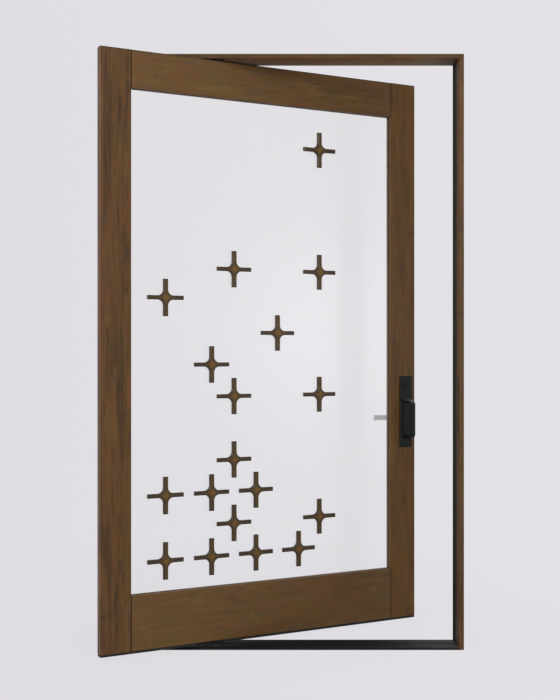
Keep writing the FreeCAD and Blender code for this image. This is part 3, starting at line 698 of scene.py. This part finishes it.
def faceRow(name, place, axis, side, insets):
    # screw places on the middle line of a plate's face, each an inset from the plate's ends
    low, high = cornersOf(name, place)
    across, way = side
    spot = (low + high) / 2
    spot[across] = high[across] if way > 0 else low[across]
    facing = Vector((0, 0, 0))
    facing[across] = way
    turned = place.to_3x3() @ facing
    found = []
    for inset in insets:
        for end in (low[axis] + inset, high[axis] - inset):
            spot[axis] = end
            found.append((place @ spot, turned))
    return found


pivotInsets, edgeInsets, plateInsets = (0.012, 0.034), (0.012,), (0.02,)

# Each piece's body, slot and finish, and its plates: place, long axis, face as an axis and a way, and insets
screwSets = {
    "frame_screws": ("frame", "steel", "darkSteel", [
        ("floor_pivot_plate", upright, 0, (2, 1), pivotInsets),
        ("top_pivot_plate", upright, 0, (2, -1), pivotInsets),
    ]),
    "strike_screws": ("frame", "bronze", "strike", [
        ("strike_plate", upright, 2, (0, -1), edgeInsets),
    ]),
    "leaf_pivot_screws": ("leaf", "steel", "darkSteel", [
        ("top_pivot_socket", leafPlace, 0, (2, 1), pivotInsets),
        ("bottom_pivot_shoe", leafPlace, 0, (2, -1), pivotInsets),
    ]),
    "lock_screws": ("leaf", "steel", "steel", [
        ("edge_faceplate", leafPlace, 2, (0, 1), edgeInsets),
        ("inside_plate", leafPlace, 2, (1, 1), plateInsets),
    ]),
}
screwHeads = {finish: screwGroup(materials[finish]) for finish in ("darkSteel", "steel", "strike")}
screwCount = 0
for name, (body, slot, finish, rows) in screwSets.items():
    places = [found for row in rows for found in faceRow(*row)]
    finishPiece(name, screwPoints(name, places), screwHeads[finish], screwLook, body)
    screwCount += len(places)
print("screws made:", screwCount)


# Sealant and seal ribs

beadLook = {"Bead Radius": 0.0016, "Sides": 10}


def beadGroup(material):
    # a round bead of sealant along each closed path
    group, tree, sizes = newGroup("glazing_bead", beadLook)
    path = tree.add("MeshToCurve", Mesh=sizes["Geometry"])
    section = tree.add("CurvePrimitiveCircle", Resolution=sizes["Sides"], Radius=sizes["Bead Radius"])
    bead = tree.add("CurveToMesh", Curve=path.outputs["Curve"], Profile_Curve=section.outputs["Curve"])
    smooth = tree.add("SetShadeSmooth", Geometry=bead.outputs["Mesh"])
    closeGroup(tree, smooth.outputs["Geometry"], material)
    return group


def beadPath():
    # the opening's outline on both faces of the glass
    mesh = bpy.data.meshes.new("glazing_bead")
    points, edges = [], []
    for y in (opening["front"], opening["back"]):
        first = len(points)
        for x, z in (("left", "bottom"), ("right", "bottom"), ("right", "top"), ("left", "top")):
            points.append(leafPlace @ Vector((opening[x], y, opening[z])))
        edges += [(first + k, first + (k + 1) % 4) for k in range(4)]
    mesh.from_pydata(points, edges, [])
    return mesh


finishPiece("glazing_bead", beadPath(), beadGroup(materials["sealant"]), beadLook, "leaf")

sealLow, sealHigh = cornersOf("latch_seal")
ribInset, ribShort = 0.007, 0.001  # the first rib from the seal's front, and how much the ribs stop short
ribLook = {
    "Ribs": 5, "Pitch": 0.009, "Rib Radius": 0.0012, "Rib Height": sealHigh.z - sealLow.z - ribShort,
    "Sides": 10,
}


def ribGroup(material):
    # upright ribs side by side on the jamb's seal, starting from the mesh's one point
    group, tree, sizes = newGroup("seal_ribs", ribLook)
    step = tree.add("ShaderNodeCombineXYZ", Y=sizes["Pitch"])
    row = tree.add("MeshLine", Count=sizes["Ribs"], Offset=step.outputs["Vector"])
    first = tree.add("InstanceOnPoints", Points=sizes["Geometry"], Instance=row.outputs["Mesh"])
    points = tree.add("RealizeInstances", Geometry=first.outputs["Instances"])
    rib = tree.add(
        "MeshCylinder", Vertices=sizes["Sides"], Radius=sizes["Rib Radius"], Depth=sizes["Rib Height"]
    )
    smooth = tree.add("SetShadeSmooth", Geometry=rib.outputs["Mesh"])
    ribs = tree.add(
        "InstanceOnPoints", Points=points.outputs["Geometry"], Instance=smooth.outputs["Geometry"]
    )
    closeGroup(tree, ribs.outputs["Instances"], material)
    return group


ribStart = bpy.data.meshes.new("seal_ribs")
ribStart.from_pydata([(sealLow.x, sealLow.y + ribInset, (sealLow.z + sealHigh.z) / 2)], [], [])
finishPiece("seal_ribs", ribStart, ribGroup(materials["rubber"]), ribLook, "frame")
print("seals made")


# Light, floor and backdrop

squareCorners = ((-1, -1), (1, -1), (1, 1), (-1, 1))

stageLook = {
    "backdrop": linear(226, 224, 228), "floor": linear(216, 214, 218), "world": 0.5, "reach": 12.0,
    "wash": (-0.2, 0.36, 0.975, 1.03),  # the backdrop is a little paler on the right
    "nearShadow": 0.93, "shadowReach": (0.8, 2.6),
}


def seenRay(tree):
    # 1 for a ray that shows the background, straight, in a mirror or through glass
    path = tree.add("LightPath").outputs
    seen = tree.math("MAXIMUM", path["Is Camera Ray"], path["Is Transmission Ray"])
    return tree.math("MAXIMUM", seen, path["Is Glossy Ray"])


def makeWorld(look):
    # an even light, and to the eye a pale backdrop
    world = bpy.data.worlds.new("studio")
    bpy.context.scene.world = world
    world.use_nodes = True
    world.node_tree.nodes.clear()
    tree = NodeTree(world.node_tree, "ShaderNode")
    wash = tree.fit(tree.split(tree.add("TexCoord").outputs["Generated"])["X"], *look["wash"])
    light = tree.add("Background", Color=white, Strength=look["world"]).outputs[0]
    backdrop = tree.add("Background", Color=look["backdrop"], Strength=wash).outputs[0]
    tree.put(tree.add("OutputWorld").inputs["Surface"], tree.mixShaders(seenRay(tree), light, backdrop))


def makeFloor(look):
    # a pale floor that keeps the door's shadow near it and fades into the backdrop
    reach = look["reach"]
    mesh = bpy.data.meshes.new("floor")
    mesh.from_pydata([(x * reach, y * reach, 0) for x, y in squareCorners], [], [(0, 1, 2, 3)])
    floor = bpy.data.objects.new("floor", mesh)
    bpy.context.collection.objects.link(floor)
    material, tree, output = newMaterial("pale_floor")
    away = tree.length(tree.add("TexCoord").outputs["Object"])
    faded = tree.fit(away, *look["shadowReach"], look["nearShadow"], 1.0)
    glow = tree.math("MULTIPLY", seenRay(tree), faded)
    start, end, first, last = look["wash"]
    incoming = tree.split(tree.add("NewGeometry").outputs["Incoming"])["X"]
    wash = tree.fit(incoming, -start, -end, first, last)
    plain = tree.add("BsdfDiffuse", Color=look["floor"]).outputs[0]
    backdrop = tree.add("Emission", Color=look["backdrop"], Strength=wash).outputs[0]
    tree.put(output.inputs["Surface"], tree.mixShaders(glow, plain, backdrop))
    mesh.materials.append(material)


cardLook = {
    "place": (2.77, -1.41, 1.39), "target": (0.25, 0.21, 1.33), "reach": (1.0, 1.05), "strength": 2.95,
}


def makeCard(look):
    # a soft lamp's glow that only mirrors see, for the light patch in the glass
    wide, tall = look["reach"]
    turn = (Vector(look["target"]) - Vector(look["place"])).to_track_quat("Z", "Y").to_matrix().to_4x4()
    stand = Matrix.Translation(look["place"]) @ turn
    mesh = bpy.data.meshes.new("glow_card")
    corners = [stand @ Vector((x * wide, y * tall, 0)) for x, y in squareCorners]
    mesh.from_pydata(corners, [], [(0, 1, 2, 3)])
    layer = mesh.uv_layers.new(name="card")
    for loop, place in zip(layer.data, squareCorners):
        loop.uv = place
    card = bpy.data.objects.new("glow_card", mesh)
    bpy.context.collection.objects.link(card)
    material, tree, output = newMaterial("soft_glow")
    away = tree.length(tree.add("UVMap", {"uv_map": "card"}).outputs["UV"])
    strength = tree.fit(away, 1.0, 0.0, 0.0, look["strength"], smooth=True)
    both = tree.add("AddShader")
    tree.put(both.inputs[0], tree.add("Emission", Color=white, Strength=strength).outputs[0])
    tree.put(both.inputs[1], tree.add("BsdfTransparent").outputs[0])
    tree.put(output.inputs["Surface"], both.outputs[0])
    mesh.materials.append(material)
    for ray in ("camera", "diffuse", "transmission", "shadow", "volume_scatter"):
        setattr(card, "visible_" + ray, False)


lampLook = {
    "key": {"place": (-3.2, -4.5, 3.6), "target": (-0.2, 0, 1.2), "size": (2.5, 2.5), "power": 180},
    "fill": {"place": (1.2, -6.0, 3.4), "target": (0, 0, 1.2), "size": (2.0, 2.0), "power": 80},
}


def makeLamp(name, look):
    data = bpy.data.lights.new(name, "AREA")
    data.shape = "RECTANGLE"
    data.size, data.size_y = look["size"]
    data.energy = look["power"]
    lamp = bpy.data.objects.new(name, data)
    bpy.context.collection.objects.link(lamp)
    lamp.visible_transmission = False
    lamp.location = look["place"]
    lamp.rotation_euler = (Vector(look["target"]) - Vector(look["place"])).to_track_quat("-Z", "Y").to_euler()


makeWorld(stageLook)
makeFloor(stageLook)
makeCard(cardLook)
for lampName, look in lampLook.items():
    makeLamp(lampName, look)
bpy.context.scene.view_settings.view_transform = "Standard"
print("stage set")
